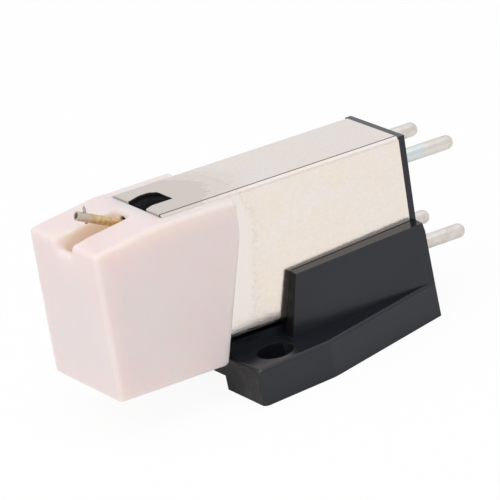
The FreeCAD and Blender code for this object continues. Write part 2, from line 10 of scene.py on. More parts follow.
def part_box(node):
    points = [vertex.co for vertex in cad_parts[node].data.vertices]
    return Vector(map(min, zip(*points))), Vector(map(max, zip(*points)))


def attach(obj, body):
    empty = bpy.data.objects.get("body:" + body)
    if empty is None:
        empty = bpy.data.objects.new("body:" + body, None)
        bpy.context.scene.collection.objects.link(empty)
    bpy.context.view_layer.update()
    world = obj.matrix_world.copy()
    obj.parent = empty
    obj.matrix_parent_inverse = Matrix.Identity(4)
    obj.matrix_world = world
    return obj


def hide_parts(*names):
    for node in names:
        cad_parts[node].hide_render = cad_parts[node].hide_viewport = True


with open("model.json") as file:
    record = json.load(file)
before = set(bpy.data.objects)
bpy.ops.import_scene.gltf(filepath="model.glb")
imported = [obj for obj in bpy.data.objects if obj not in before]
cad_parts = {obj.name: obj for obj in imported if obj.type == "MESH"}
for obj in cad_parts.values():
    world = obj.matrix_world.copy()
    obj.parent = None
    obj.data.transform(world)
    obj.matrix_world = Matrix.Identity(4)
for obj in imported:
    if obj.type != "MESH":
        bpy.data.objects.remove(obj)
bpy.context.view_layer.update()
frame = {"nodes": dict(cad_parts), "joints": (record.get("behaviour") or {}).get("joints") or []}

MM = 0.001

# Mounting base: one injection moulding in satin black plastic, with two drilled ears, a centre deck and two
# cheeks. The can is pressed in between the cheeks. Its edges are crisp, as they leave the mould.


def merged_copy(node, name):
    """Copy a CAD node as one closed mesh with whole flat faces."""
    source = frame["nodes"][node].data
    mesh = bpy.data.meshes.new(name)
    mesh.from_pydata([v.co for v in source.vertices], [], [p.vertices[:] for p in source.polygons])
    shell = bmesh.new()
    shell.from_mesh(mesh)
    bmesh.ops.remove_doubles(shell, verts=shell.verts, dist=1e-7)
    bmesh.ops.dissolve_limit(shell, angle_limit=math.radians(0.4), verts=shell.verts, edges=shell.edges)
    shell.to_mesh(mesh)
    shell.free()
    piece = bpy.data.objects.new(name, mesh)
    bpy.context.scene.collection.objects.link(piece)
    return piece


def bake(piece):
    """Turn a piece and its modifiers into a plain mesh."""
    bpy.context.view_layer.update()
    evaluated = piece.evaluated_get(bpy.context.evaluated_depsgraph_get())
    mesh = bpy.data.meshes.new_from_object(evaluated)
    piece.modifiers.clear()
    piece.data = mesh
    return piece


CREASE = math.radians(34)
ROLL_STEPS = 3


def rolled_edges(node, name, radius, share_of=None):
    """Copy a CAD node with its sharp outer edges rolled over by radius, and let the copy stand for it.

    share_of gives the share of the radius that an edge takes, by its middle.
    """
    piece = merged_copy(node, name)
    shell = bmesh.new()
    shell.from_mesh(piece.data)
    weight = shell.edges.layers.float.new("bevel_weight_edge")
    for edge in shell.edges:
        is_sharp = edge.calc_face_angle(0.0) > CREASE
        middle = (edge.verts[0].co + edge.verts[1].co) / 2
        edge[weight] = (share_of(middle) if share_of else 1.0) if is_sharp and edge.is_convex else 0.0
        edge.smooth = not is_sharp or edge.is_convex
    for face in shell.faces:
        face.smooth = True
    shell.to_mesh(piece.data)
    shell.free()
    roll = piece.modifiers.new("rolled edges", "BEVEL")
    roll.width = radius
    roll.segments = ROLL_STEPS
    roll.limit_method = "WEIGHT"
    roll.use_clamp_overlap = True
    roll.miter_outer = "MITER_ARC"
    flats = piece.modifiers.new("flat faces", "WEIGHTED_NORMAL")
    flats.weight = 60
    flats.keep_sharp = True
    bake(piece)
    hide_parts(node)
    return piece


def finish_named(name):
    """Start a material and give back its node tree and its Principled shader."""
    material = bpy.data.materials.new(name)
    material.use_nodes = True
    return material, material.node_tree, material.node_tree.nodes["Principled BSDF"]


def set_values(node, **values):
    """Set a node's sockets by name, with _ for a space."""
    for name, value in values.items():
        node.inputs[name.replace("_", " ")].default_value = value
    return node


def group_named(name, inputs, outputs):
    """Start a shader group with float inputs and outputs, and give back its tree, way in and way out."""
    group = bpy.data.node_groups.new(name, "ShaderNodeTree")
    for label, value in inputs.items():
        group.interface.new_socket(label, in_out="INPUT", socket_type="NodeSocketFloat").default_value = value
    for label in outputs:
        group.interface.new_socket(label, in_out="OUTPUT", socket_type="NodeSocketFloat")
    return group, group.nodes.new("NodeGroupInput"), group.nodes.new("NodeGroupOutput")


def patches_group():
    """Soft-edged patches over a surface: Mask is 1 inside a patch."""
    group, way_in, way_out = group_named(
        "patches", {"Scale": 400.0, "Detail": 3.0, "Start": 0.45, "End": 0.6, "Seed": 0.0}, ["Mask"])
    place = group.nodes.new("ShaderNodeTexCoord")
    noise = group.nodes.new("ShaderNodeTexNoise")
    noise.noise_dimensions = "4D"
    step = group.nodes.new("ShaderNodeMapRange")
    step.interpolation_type = "SMOOTHSTEP"
    group.links.new(place.outputs["Object"], noise.inputs["Vector"])
    group.links.new(way_in.outputs["Seed"], noise.inputs["W"])
    group.links.new(way_in.outputs["Scale"], noise.inputs["Scale"])
    group.links.new(way_in.outputs["Detail"], noise.inputs["Detail"])
    group.links.new(noise.outputs["Fac"], step.inputs["Value"])
    group.links.new(way_in.outputs["Start"], step.inputs["From Min"])
    group.links.new(way_in.outputs["End"], step.inputs["From Max"])
    group.links.new(step.outputs["Result"], way_out.inputs["Mask"])
    return group


def grain_group():
    """Fine surface grain: Height is from 0 to 1, Stretch draws the grain out along X."""
    group, way_in, way_out = group_named("grain", {"Scale": 9000.0, "Stretch": 1.0}, ["Height"])
    place = group.nodes.new("ShaderNodeTexCoord")
    draw_out = group.nodes.new("ShaderNodeCombineXYZ")
    set_values(draw_out, Y=1.0, Z=1.0)
    shrink = group.nodes.new("ShaderNodeMath")
    shrink.operation = "DIVIDE"
    shrink.inputs[0].default_value = 1.0
    mapping = group.nodes.new("ShaderNodeMapping")
    noise = group.nodes.new("ShaderNodeTexNoise")
    set_values(noise, Detail=2.0, Roughness=0.55)
    group.links.new(way_in.outputs["Stretch"], shrink.inputs[1])
    group.links.new(shrink.outputs["Value"], draw_out.inputs["X"])
    group.links.new(place.outputs["Object"], mapping.inputs["Vector"])
    group.links.new(draw_out.outputs["Vector"], mapping.inputs["Scale"])
    group.links.new(mapping.outputs["Vector"], noise.inputs["Vector"])
    group.links.new(way_in.outputs["Scale"], noise.inputs["Scale"])
    group.links.new(noise.outputs["Fac"], way_out.inputs["Height"])
    return group


patches = patches_group()
grain = grain_group()


def place_group(tree, group, **values):
    """Put a shader group in a material, with its own values."""
    node = tree.nodes.new("ShaderNodeGroup")
    node.node_tree = group
    return set_values(node, **values)


def blend_colours(tree, mask, first, second, target):
    """Feed target with a mix of two colours by a mask."""
    mix = tree.nodes.new("ShaderNodeMix")
    mix.data_type = "RGBA"
    mix.inputs["A"].default_value = (*first, 1.0)
    mix.inputs["B"].default_value = (*second, 1.0)
    tree.links.new(mask, mix.inputs["Factor"])
    tree.links.new(mix.outputs["Result"], target)
    return mix


def blend_values(tree, mask, first, second, target):
    """Feed target with a value that goes from first to second with a mask."""
    spread = tree.nodes.new("ShaderNodeMapRange")
    set_values(spread, To_Min=first, To_Max=second)
    tree.links.new(mask, spread.inputs["Value"])
    tree.links.new(spread.outputs["Result"], target)


def patch_mask(tree, **values):
    """Mask of soft-edged patches, with their own values."""
    return place_group(tree, patches, **values).outputs["Mask"]


def raise_grain(tree, shader, depth, **values):
    """Bump a surface with fine grain of the given depth."""
    texture = place_group(tree, grain, **values)
    bump = tree.nodes.new("ShaderNodeBump")
    set_values(bump, Strength=1.0, Distance=depth)
    tree.links.new(texture.outputs["Height"], bump.inputs["Height"])
    tree.links.new(bump.outputs["Normal"], shader.inputs["Normal"])


def satin_black(name, gloss, gleam):
    """Moulded black plastic: fine satin grain, with patches a little smoother than the rest."""
    material, tree, shader = finish_named(name)
    set_values(shader, Specular_IOR_Level=gloss, Specular_Tint=(*gleam, 1.0))
    smooth = patch_mask(tree, Scale=260.0, Start=0.4, End=0.7, Seed=2.0)
    blend_colours(tree, smooth, (0.008, 0.0095, 0.0145), (0.010, 0.0115, 0.0165), shader.inputs["Base Color"])
    blend_values(tree, smooth, 0.27, 0.21, shader.inputs["Roughness"])
    raise_grain(tree, shader, 0.0016 * MM, Scale=12000.0)
    return material


def dress(piece, material, body):
    """Give a piece its material and the body that it moves with."""
    piece.data.materials.clear()
    piece.data.materials.append(material)
    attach(piece, body)


def dull_black(name, gloss):
    """Darker, rougher copy of the plastic as painted shade, on the moulding's front ends and on faces by the
    can.
    """
    material, tree, shader = finish_named(name)
    set_values(shader, Specular_IOR_Level=gloss)
    worn = patch_mask(tree, Scale=600.0, Start=0.45, End=0.7, Seed=17.0)
    blend_colours(tree, worn, (0.003, 0.003, 0.0035), (0.007, 0.007, 0.008), shader.inputs["Base Color"])
    blend_values(tree, worn, 0.6, 0.45, shader.inputs["Roughness"])
    raise_grain(tree, shader, 0.004 * MM, Scale=9000.0)
    return material


CHEEK_FOOT = 3.2 * MM
CHEEK_TOP = 7.0 * MM
CHEEK_INSIDE = 4.1 * MM
DECK_SIDE = 3.8 * MM
BASE_ROLL = 0.2 * MM
LESSER_ROLL = 0.45
FACING_SIDE = 0.9
FACING_FRONT = 0.8
FACING_UP = 0.7
FLANGE_FRONT_SHADE, CHEEK_FRONT_SHADE, SHADED, CHEEK_TOP_REFLECTION = range(1, 5)


def base_share(middle):
    """Roll the cheeks' top edges over by the full radius along the can, and other edges by less."""
    return 1.0 if middle.z > CHEEK_TOP and abs(middle.y) < CHEEK_INSIDE else LESSER_ROLL


black_plastic = satin_black("satin_black_plastic", 0.52, (0.93, 0.95, 1.0))
shaded_black = dull_black("shaded_black_plastic", 0.015)
base = rolled_edges("mount_base", "base_moulding", BASE_ROLL, base_share)
dress(base, black_plastic, "cartridge")
# Darker copies of the plastic as painted shade: on the flange's and cheeks' front faces, and on faces by the
# can.
base.data.materials.append(dull_black("flange_front_shade_black_plastic", 0.56))
base.data.materials.append(dull_black("cheek_front_shade_black_plastic", 0.25))
base.data.materials.append(shaded_black)
# A glossier copy with a warm tint, as a painted reflection of the can's side on the cheeks' tops.
base.data.materials.append(satin_black("cheek_top_reflection_black_plastic", 0.92, (1.0, 0.955, 0.86)))
for face in base.data.polygons:
    sides_deck = abs(face.center.y) < DECK_SIDE and abs(face.normal.y) > FACING_SIDE
    meets_can = face.normal.y * face.center.y < 0
    if face.center.z > CHEEK_FOOT and (sides_deck or meets_can):
        face.material_index = SHADED
    elif face.normal.x < -FACING_FRONT:
        face.material_index = CHEEK_FRONT_SHADE if face.center.z > CHEEK_FOOT else FLANGE_FRONT_SHADE
    elif face.center.z > CHEEK_TOP and face.normal.z > FACING_UP:
        face.material_index = CHEEK_TOP_REFLECTION

# Shield can: nickel-plated sheet, folded to a box and butted along one long edge, with a hairline seam. The
# punch has rolled its cut edges over, the cap has rubbed its front dull, dirt lies in the seam, and a line of
# painted shade runs along the cheeks. Its places are in millimetres, in the can's frame.

CAN_ROLL = 0.066 * MM
LIP_ROLL = 0.6
ARCH_BACK = -2.0
ARCH_HALF = 3.2
ARCH_LOW = -1.0
SEAM_ACROSS = -3.59
SEAM_REACH = 0.06
RUB_EDGE = 2.1
RUB_LEAN = 0.155
RUB_CURL = 1.3
CHEEK_CREST = 8.0 * MM
CHEEK_GAP = (-0.15, 0.06)
CHEEK_FADE = 0.3
SOFT = 0.03
can_line = Vector(next(j for j in frame["joints"] if j["name"] == "stylus_pull")["axis"]) * -1
can_up = Vector((-can_line.z, 0, can_line.x))
can_tilt = math.atan2(can_up.x, can_up.z)
can_top = max(v.co.dot(can_up) for v in frame["nodes"]["shield_can"].data.vertices) / MM
can_shift = can_top * math.tan(can_tilt)


def in_can(point):
    """Place of a point in the can's own frame: along to the pins, across, and up from its top."""
    return point.dot(can_line) / MM + can_shift, point.y / MM, point.dot(can_up) / MM - can_top


def from_can(along):
    """Point on the can's top line, this far along."""
    return can_line * (along - can_shift) * MM + can_up * can_top * MM


cheek_line = [in_can(v.co) for v in frame["nodes"]["mount_base"].data.vertices
              if v.co.z > CHEEK_CREST and abs(v.co.y) < CHEEK_INSIDE]
cheek_front, cheek_rear = min(cheek_line), max(cheek_line)
cheek_rise = (cheek_rear[2] - cheek_front[2]) / (cheek_rear[0] - cheek_front[0])


def can_frame_group():
    """Place in the can's own frame: Along to the pins, Across, and Up from the can's top."""
    group, _, way_out = group_named("can_frame", {}, ["Along", "Across", "Up"])
    place = group.nodes.new("ShaderNodeTexCoord")
    turn = group.nodes.new("ShaderNodeMapping")
    set_values(turn, Scale=(1 / MM,) * 3, Rotation=(0, -can_tilt, 0), Location=(can_shift, 0, -can_top))
    split = group.nodes.new("ShaderNodeSeparateXYZ")
    group.links.new(place.outputs["Object"], turn.inputs["Vector"])
    group.links.new(turn.outputs["Vector"], split.inputs["Vector"])
    for axis, label in zip("XYZ", ("Along", "Across", "Up")):
        group.links.new(split.outputs[axis], way_out.inputs[label])
    return group


can_frame = can_frame_group()


def can_place(tree):
    """Along, Across and Up of a surface, in the can's own frame."""
    place = place_group(tree, can_frame)
    return [place.outputs[label] for label in ("Along", "Across", "Up")]


def reckon(tree, operation, *terms):
    """Work out one step of a mask from values and sockets."""
    step = tree.nodes.new("ShaderNodeMath")
    step.operation = operation
    for socket, term in zip(step.inputs, terms):
        if isinstance(term, bpy.types.NodeSocket):
            tree.links.new(term, socket)
        else:
            socket.default_value = term
    return step.outputs["Value"]


def fade(tree, value, start, end):
    """Mask that goes from 0 to 1 as a value goes from start to end."""
    step = tree.nodes.new("ShaderNodeMapRange")
    step.interpolation_type = "SMOOTHSTEP"
    set_values(step, From_Min=start, From_Max=end)
    tree.links.new(value, step.inputs["Value"])
    return step.outputs["Result"]


def tint(tree, mask, colour, under, target):
    """Lay a colour over another node's colour where a mask is 1."""
    mix = tree.nodes.new("ShaderNodeMix")
    mix.data_type = "RGBA"
    mix.inputs["B"].default_value = (*colour, 1.0)
    tree.links.new(mask, mix.inputs["Factor"])
    tree.links.new(under.outputs["Result"], mix.inputs["A"])
    tree.links.new(mix.outputs["Result"], target)
    return mix


def clouded_plating(tree, colour):
    """Feed colour with clouded and mottled plating."""
    cloud = patch_mask(tree, Scale=420.0, Detail=4.0, Start=0.38, End=0.62, Seed=5.0)
    sheet = blend_colours(tree, cloud, (0.93, 0.83, 0.735), (0.915, 0.84, 0.785), colour)
    mottle = patch_mask(tree, Scale=4600.0, Start=0.35, End=0.65, Seed=31.0)
    return tint(tree, reckon(tree, "MULTIPLY", mottle, 0.4), (0.83, 0.75, 0.67), sheet, colour)


def rubbed_by_cap(tree, sheet, colour):
    """Rub the plating where the cap slides, with stain and specks at the edge of that."""
    along, across, up = can_place(tree)
    on_side = fade(tree, up, -0.1, -0.3)
    on_top = fade(tree, up, -0.3, -0.1)
    ragged = patch_mask(tree, Scale=2000.0, Detail=6.0, Start=0.3, End=0.7, Seed=21.0)
    specks = patch_mask(tree, Scale=6500.0, Detail=1.0, Start=0.5, End=0.56, Seed=22.0)
    beyond = reckon(tree, "MULTIPLY_ADD", up, -RUB_LEAN, reckon(tree, "SUBTRACT", along, RUB_EDGE))
    beyond = reckon(tree, "MULTIPLY_ADD", fade(tree, up, -3.2, 0.0), RUB_CURL, beyond)
    side_edge = reckon(tree, "MULTIPLY_ADD", ragged, -0.5, beyond)
    stain = reckon(tree, "MULTIPLY", fade(tree, beyond, 2.2, 0.0), fade(tree, ragged, 0.1, 0.9))
    sheet = tint(tree, reckon(tree, "MULTIPLY", stain, 0.5), (0.86, 0.745, 0.61), sheet, colour)
    rubbed_side = reckon(tree, "MULTIPLY", fade(tree, side_edge, 0.1, -0.35), on_side)
    sheet = tint(tree, rubbed_side, (0.895, 0.83, 0.775), sheet, colour)
    bow = reckon(tree, "MULTIPLY_ADD", reckon(tree, "MULTIPLY", across, across), 0.14, along)
    top_edge = reckon(tree, "MULTIPLY_ADD", ragged, -0.7, bow)
    for start, end, share in ((4.0, -0.6, 0.5), (-0.3, -0.8, 1.0)):  # faint far back, full by the cap
        rubbed_top = reckon(tree, "MULTIPLY", fade(tree, top_edge, start, end), on_top)
        sheet = tint(tree, reckon(tree, "MULTIPLY", rubbed_top, share), (0.72, 0.645, 0.57), sheet, colour)
    near_edge = reckon(tree, "MULTIPLY", fade(tree, reckon(tree, "ABSOLUTE", side_edge), 0.3, 0.05), specks)
    return tint(tree, reckon(tree, "MULTIPLY", near_edge, 0.35), (0.66, 0.58, 0.47), sheet, colour)


def seam_dirt_and_cheek_shade(tree, sheet, colour):
    """Lay dirt in the seam, and a line of painted shade along the cheeks' tops where they meet the can."""
    along, across, up = can_place(tree)
    from_seam = reckon(tree, "ABSOLUTE", reckon(tree, "SUBTRACT", across, SEAM_ACROSS))
    in_seam = fade(tree, from_seam, SEAM_REACH + SOFT, SEAM_REACH)
    seam = reckon(tree, "MULTIPLY", in_seam, fade(tree, up, -0.4, -0.35))
    sheet = tint(tree, seam, (0.06, 0.052, 0.045), sheet, colour)
    # Painted shade: a dark line on the sheet just above the cheeks' tops.
    cheek_start = cheek_front[2] - cheek_rise * cheek_front[0]
    above = reckon(tree, "MULTIPLY_ADD", along, -cheek_rise, reckon(tree, "SUBTRACT", up, cheek_start))
    gap = reckon(tree, "MULTIPLY", fade(tree, above, CHEEK_GAP[1], CHEEK_GAP[1] - SOFT),
                 fade(tree, above, CHEEK_GAP[0], CHEEK_GAP[0] + SOFT))
    gap = reckon(tree, "MULTIPLY", gap, fade(tree, along, cheek_front[0], cheek_front[0] + CHEEK_FADE))
    tint(tree, gap, (0.03, 0.027, 0.025), sheet, colour)


def satin_nickel():
    """Plated sheet, duller where the cap has rubbed it, with stain beyond that, dirt in the seam and painted
    shade by the cheeks.
    """
    material, tree, shader = finish_named("satin_nickel")
    set_values(shader, Metallic=1.0)
    colour = shader.inputs["Base Color"]
    sheet = clouded_plating(tree, colour)
    sheet = rubbed_by_cap(tree, sheet, colour)
    seam_dirt_and_cheek_shade(tree, sheet, colour)
    speckle = patch_mask(tree, Scale=5200.0, Detail=2.0, Start=0.42, End=0.62, Seed=9.0)
    blend_values(tree, speckle, 0.13, 0.19, shader.inputs["Roughness"])
    raise_grain(tree, shader, 0.005 * MM, Scale=9000.0, Stretch=1.5)
    return material


def can_share(middle):
    """Roll the arch's rim in full and the narrower lips of the sheet by less."""
    along, across, up = in_can(middle)
    return 1.0 if along < ARCH_BACK and abs(across) < ARCH_HALF and up > ARCH_LOW else LIP_ROLL


can = rolled_edges("shield_can", "can_sheet", CAN_ROLL, can_share)
dress(can, satin_nickel(), "cartridge")

# Terminal plate: moulded black plate that closes the back of the can and carries the pins. It is pressed
# into the can, and a strip of painted shade shows where the two meet.

PLATE_ROLL = 0.15 * MM
PLATE_LINE = 0.16
plate = rolled_edges("terminal_plate", "terminal_plate_moulding", PLATE_ROLL)
dress(plate, black_plastic, "cartridge")
plate_along = [in_can(v.co)[0] for v in plate.data.vertices]
line = min(plate_along) + PLATE_LINE
cut = bmesh.new()
cut.from_mesh(plate.data)
everything = cut.verts[:] + cut.edges[:] + cut.faces[:]
bmesh.ops.bisect_plane(cut, geom=everything, plane_co=from_can(line), plane_no=can_line)
cut.to_mesh(plate.data)
cut.free()
# The plate's front strip takes the shaded copy, as painted shade where it meets the can.
plate.data.materials.append(shaded_black)
for face in plate.data.polygons:
    face.material_index = int(in_can(face.center)[0] < line)

# Terminal pins: turned brass, tinned, with domed ends. Pressed into the plate. Handling has left them dull,
# with brownish patches where the tin is thin.

SIDES = ("left", "right")
ROWS = ("upper", "lower")
PIN_ROLL = 0.02 * MM
COLLAR = 2.15


def tinned_brass():
    """Dull tin with brownish patches. The near upper pin has a brighter collar next to the plate."""
    material, tree, shader = finish_named("tinned_brass")
    set_values(shader, Metallic=1.0)
    thin = patch_mask(tree, Scale=1300.0, Start=0.38, End=0.66, Seed=3.0)
    along, across, up = can_place(tree)
    collar_end = max(plate_along) + COLLAR
    at_plate = fade(tree, along, collar_end + 0.1, collar_end)
    near_top = reckon(tree, "MULTIPLY", fade(tree, up, -5, -4), fade(tree, across, 0, -0.5))
    collar = reckon(tree, "MULTIPLY", at_plate, near_top)
    tin = blend_colours(tree, thin, (0.79, 0.745, 0.695), (0.72, 0.665, 0.60), shader.inputs["Base Color"])
    tint(tree, collar, (0.70, 0.75, 0.74), tin, shader.inputs["Base Color"])
    rough = reckon(tree, "MAXIMUM", reckon(tree, "SUBTRACT", thin, collar), 0)
    blend_values(tree, rough, 0.26, 0.42, shader.inputs["Roughness"])
    raise_grain(tree, shader, 0.005 * MM, Scale=6000.0)
    return material


tinned = tinned_brass()
for side in SIDES:
    for row in ROWS:
        pin = rolled_edges(f"pin_{side}_{row}", f"terminal_{side}_{row}", PIN_ROLL)
        dress(pin, tinned, "cartridge")

# Coil housing: black moulding inside the front of the can, seen through the arch. It holds the pole pieces
# round the bay that the stylus sleeve plugs into.

HOUSING_ROLL = 0.05 * MM
housing = rolled_edges("coil_housing", "housing_moulding", HOUSING_ROLL)
dress(housing, shaded_black, "cartridge")

# Pole pieces and yokes: stamped soft magnetic alloy, bright from the press. One pair of diagonal poles and
# their yoke make the magnetic path of each channel.


def repaint(node, material):
    """Give a CAD node a better material."""
    frame["nodes"][node].data.materials.clear()
    frame["nodes"][node].data.materials.append(material)


def bright_alloy():
    material, tree, shader = finish_named("bright_alloy")
    set_values(shader, Metallic=1.0)
    stain = patch_mask(tree, Scale=700.0, Start=0.4, End=0.7, Seed=11.0)
    blend_colours(tree, stain, (0.56, 0.56, 0.55), (0.45, 0.44, 0.42), shader.inputs["Base Color"])
    blend_values(tree, stain, 0.3, 0.42, shader.inputs["Roughness"])
    raise_grain(tree, shader, 0.006 * MM, Scale=7000.0, Stretch=6.0)
    return material


alloy = bright_alloy()
for side in SIDES:
    repaint(f"yoke_{side}", alloy)
    for row in ROWS:
        repaint(f"pole_{side}_{row}", alloy)

# Bobbins and coils: natural nylon spools pressed on the pole limbs, each wound with fine enamelled copper
# wire. The outer layer of turns lies over the coil's solid winding.

TURNS = 48
WIRE_RADIUS = 0.06 * MM


def natural_nylon():
    material, tree, shader = finish_named("natural_nylon")
    set_values(shader, Subsurface_Weight=0.3, Subsurface_Scale=0.4 * MM)
    cloud = patch_mask(tree, Scale=500.0, Start=0.3, End=0.7, Seed=4.0)
    blend_colours(tree, cloud, (0.78, 0.74, 0.62), (0.72, 0.68, 0.57), shader.inputs["Base Color"])
    blend_values(tree, cloud, 0.42, 0.5, shader.inputs["Roughness"])
    raise_grain(tree, shader, 0.003 * MM, Scale=9000.0)
    return material


def enamelled_copper():
    material, tree, shader = finish_named("enamelled_copper")
    set_values(shader, Metallic=1.0, Coat_Weight=0.6, Coat_Roughness=0.2)
    enamel = patch_mask(tree, Scale=1500.0, Start=0.35, End=0.65, Seed=8.0)
    blend_colours(tree, enamel, (0.58, 0.22, 0.08), (0.46, 0.16, 0.06), shader.inputs["Base Color"])
    blend_values(tree, enamel, 0.24, 0.34, shader.inputs["Roughness"])
    return material


def winding_tree(material):
    """One layer of turns: a wire swept along a spiral."""
    tree = bpy.data.node_groups.new("winding", "GeometryNodeTree")
    tree.is_modifier = True
    sockets = {}
    for label in ("Turns", "Radius", "Length", "Wire Radius"):
        socket = tree.interface.new_socket(label, in_out="INPUT", socket_type="NodeSocketFloat")
        sockets[label] = socket.identifier
    tree.interface.new_socket("Geometry", in_out="OUTPUT", socket_type="NodeSocketGeometry")
    way_in = tree.nodes.new("NodeGroupInput")
    way_out = tree.nodes.new("NodeGroupOutput")
    spiral = tree.nodes.new("GeometryNodeCurveSpiral")
    set_values(spiral, Resolution=20)
    wire = tree.nodes.new("GeometryNodeCurvePrimitiveCircle")
    set_values(wire, Resolution=6)
    sweep = tree.nodes.new("GeometryNodeCurveToMesh")
    set_values(sweep, Fill_Caps=True)
    real = tree.nodes.new("GeometryNodeRealizeInstances")
    finish = tree.nodes.new("GeometryNodeSetMaterial")
    set_values(finish, Material=material)
    tree.links.new(way_in.outputs["Turns"], spiral.inputs["Rotations"])
    tree.links.new(way_in.outputs["Radius"], spiral.inputs["Start Radius"])
    tree.links.new(way_in.outputs["Radius"], spiral.inputs["End Radius"])
    tree.links.new(way_in.outputs["Length"], spiral.inputs["Height"])
    tree.links.new(way_in.outputs["Wire Radius"], wire.inputs["Radius"])
    tree.links.new(spiral.outputs["Curve"], sweep.inputs["Curve"])
    tree.links.new(wire.outputs["Curve"], sweep.inputs["Profile Curve"])
    tree.links.new(sweep.outputs["Mesh"], real.inputs["Geometry"])
    tree.links.new(real.outputs["Geometry"], finish.inputs["Geometry"])
    tree.links.new(finish.outputs["Geometry"], way_out.inputs["Geometry"])
    return tree, sockets


nylon = natural_nylon()
copper = enamelled_copper()
winding, winding_sockets = winding_tree(copper)


def outer_turns(coil, name):
    """Wind one layer of turns over a coil, along its own line."""
    along = [v.co.dot(can_line) for v in frame["nodes"][coil].data.vertices]
    low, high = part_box(coil)
    radius = (high.y - low.y) / 2
    length = max(along) - min(along) - 4 * WIRE_RADIUS
    turns = bpy.data.objects.new(name, bpy.data.meshes.new("turns"))
    bpy.context.scene.collection.objects.link(turns)
    layer = turns.modifiers.new("winding", "NODES")
    layer.node_group = winding
    sizes = {"Turns": float(TURNS), "Radius": radius - WIRE_RADIUS / 2, "Length": length,
             "Wire Radius": WIRE_RADIUS}
    for label, value in sizes.items():
        layer[winding_sockets[label]] = value
    bake(turns)
    start = (low + high) / 2 - can_line * length / 2
    turn = can_line.to_track_quat("Z", "Y").to_matrix().to_4x4()
    turns.data.transform(Matrix.Translation(start) @ turn)
    turns.data.shade_smooth()
    return turns


for side in SIDES:
    for row in ROWS:
        repaint(f"bobbin_{side}_{row}", nylon)
        repaint(f"coil_{side}_{row}", copper)
        turns = outer_turns(f"coil_{side}_{row}", f"turns_{side}_{row}")
        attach(turns, "cartridge")

# Stylus cap: one moulding in milky pale pink plastic that light enters and leaves. Its thin and hollow places
# glow warmer than its flat faces, shown as a painted glow in the slot and along the upper side edges, and the
# cantilever's passage has painted shade. It slides over the can. Its places are in millimetres, in the can's
# frame.

SLOT_HALF = 1.225
SLOT_REAR = (-6.5, -7.0)
SLOT_FRONT = (-12.9, -12.3)
MOUTH = (-12.9, 0.0, -1.5)
MOUTH_HALF = (0.4, 1.4, 0.7)
MOUTH_FADE = 0.9
MOUTH_ROUNDS = 60
EDGE_ROUNDS = 3
CAP_SPACING = 0.12 * MM
PASSAGE = 0.62 * MM
PASSAGE_MOUTH = (-7.6, -7.2)
GLOW_SIDE = (5.0, 5.3)
GLOW_RISE = (-2.2, -0.5)
sway = next(joint for joint in frame["joints"] if joint["name"] == "cantilever_sway")
pivot = Vector(sway["pos_m"])
forward = Vector(sway["axis"]).cross((0, 1, 0))


def from_cantilever(tree):
    """Distance of the surface from the cantilever's line, in metres."""
    reading = tree.nodes.new("ShaderNodeTexCoord").outputs["Object"]
    for operation, term in (("SUBTRACT", pivot), ("CROSS_PRODUCT", forward)):
        step = tree.nodes.new("ShaderNodeVectorMath")
        step.operation = operation
        step.inputs[1].default_value = term
        tree.links.new(reading, step.inputs[0])
        reading = step.outputs["Vector"]
    length = tree.nodes.new("ShaderNodeVectorMath")
    length.operation = "LENGTH"
    tree.links.new(reading, length.inputs[0])
    return length.outputs["Value"]


def milky_pink():
    """Milky plastic with a painted warm glow in the slot and at its upper edges, and painted shade in the
    passage.
    """
    material, tree, shader = finish_named("milky_pink_plastic")
    set_values(shader, Subsurface_Weight=0.85, Subsurface_Scale=1.6 * MM, Specular_IOR_Level=0.35)
    shader.inputs["Subsurface Radius"].default_value = (1.0, 0.6, 0.45)
    colour = shader.inputs["Base Color"]
    cloud = patch_mask(tree, Scale=160.0, Start=0.3, End=0.7, Seed=6.0)
    plastic = blend_colours(tree, cloud, (0.87, 0.745, 0.735), (0.89, 0.765, 0.755), colour)
    along, across, up = can_place(tree)
    aside = reckon(tree, "ABSOLUTE", across)
    # Painted highlight: a warmer band along the upper side edges.
    painted_edge_glow = reckon(tree, "MULTIPLY", fade(tree, aside, *GLOW_SIDE), fade(tree, up, *GLOW_RISE))
    plastic = tint(tree, painted_edge_glow, (0.945, 0.785, 0.742), plastic, colour)
    # Painted glow: the inside of the slot painted warmer.
    inside = fade(tree, aside, SLOT_HALF + 0.3, SLOT_HALF + 0.05)
    below = fade(tree, up, -0.2, -0.9)
    between = reckon(tree, "MULTIPLY", fade(tree, along, *SLOT_REAR), fade(tree, along, *SLOT_FRONT))
    painted_slot_glow = reckon(tree, "MULTIPLY", inside, reckon(tree, "MULTIPLY", below, between))
    plastic = tint(tree, painted_slot_glow, (0.965, 0.815, 0.73), plastic, colour)
    # Painted shade inside the cantilever's passage.
    in_passage = fade(tree, from_cantilever(tree), PASSAGE + 0.12 * MM, PASSAGE + 0.03 * MM)
    passage_shade = reckon(tree, "MULTIPLY", in_passage, fade(tree, along, *PASSAGE_MOUTH))
    tint(tree, passage_shade, (0.05, 0.04, 0.035), plastic, colour)
    blend_values(tree, cloud, 0.42, 0.48, shader.inputs["Roughness"])
    raise_grain(tree, shader, 0.002 * MM, Scale=7000.0)
    return material


def even_mesh(piece, spacing):
    """Lay an even mesh over a piece, enlarged meanwhile because finer spacings in metres are cut off."""
    piece.data.transform(Matrix.Scale(1 / MM, 4))
    remesh = piece.modifiers.new("even mesh", "REMESH")
    remesh.mode = "VOXEL"
    remesh.voxel_size = spacing / MM
    bake(piece)
    piece.data.transform(Matrix.Scale(MM, 4))


def in_mouth(point):
    """Say how far inside the slot's mouth a point is: 1 well inside, 0 outside."""
    away = [abs(place - middle) - half for place, middle, half in zip(in_can(point), MOUTH, MOUTH_HALF)]
    return min(max(1 - max(away) / MOUTH_FADE, 0), 1)


